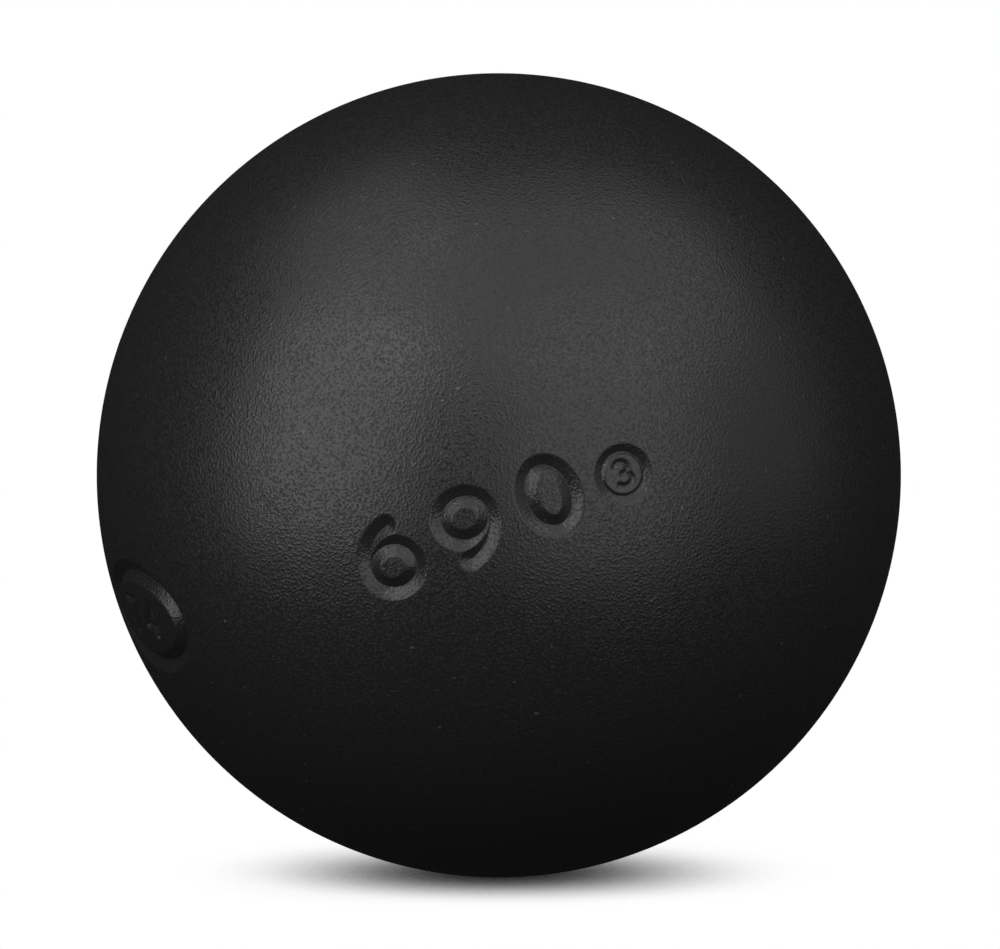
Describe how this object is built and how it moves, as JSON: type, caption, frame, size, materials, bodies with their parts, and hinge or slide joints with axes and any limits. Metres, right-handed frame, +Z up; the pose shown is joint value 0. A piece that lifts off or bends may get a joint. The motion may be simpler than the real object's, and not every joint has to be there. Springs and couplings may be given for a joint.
{
  "type": "petanque boule",
  "caption": "Hollow steel petanque boule with a matt black grained coat, made of forged half shells joined by a weld that is turned flush with the ball.",
  "frame": {"origin": "centre of the ball", "axes": "+Z is up as the ball rests in the picture. The weld's axis is Y, and the front half shell, which carries the stamped numbers, is the one towards -Y"},
  "size_m": [0.074, 0.074, 0.074],
  "materials": {
    "coated_steel": "matt black coat with a fine grain outside, bare forged steel inside",
    "coated_weld": "turned flush and coated like the half shells outside, bare rippled weld metal inside"
  },
  "bodies": {
    "root": {"front_half_shell": "coated_steel", "back_half_shell": "coated_steel", "weld_bead": "coated_weld"}
  },
  "joints": []
}
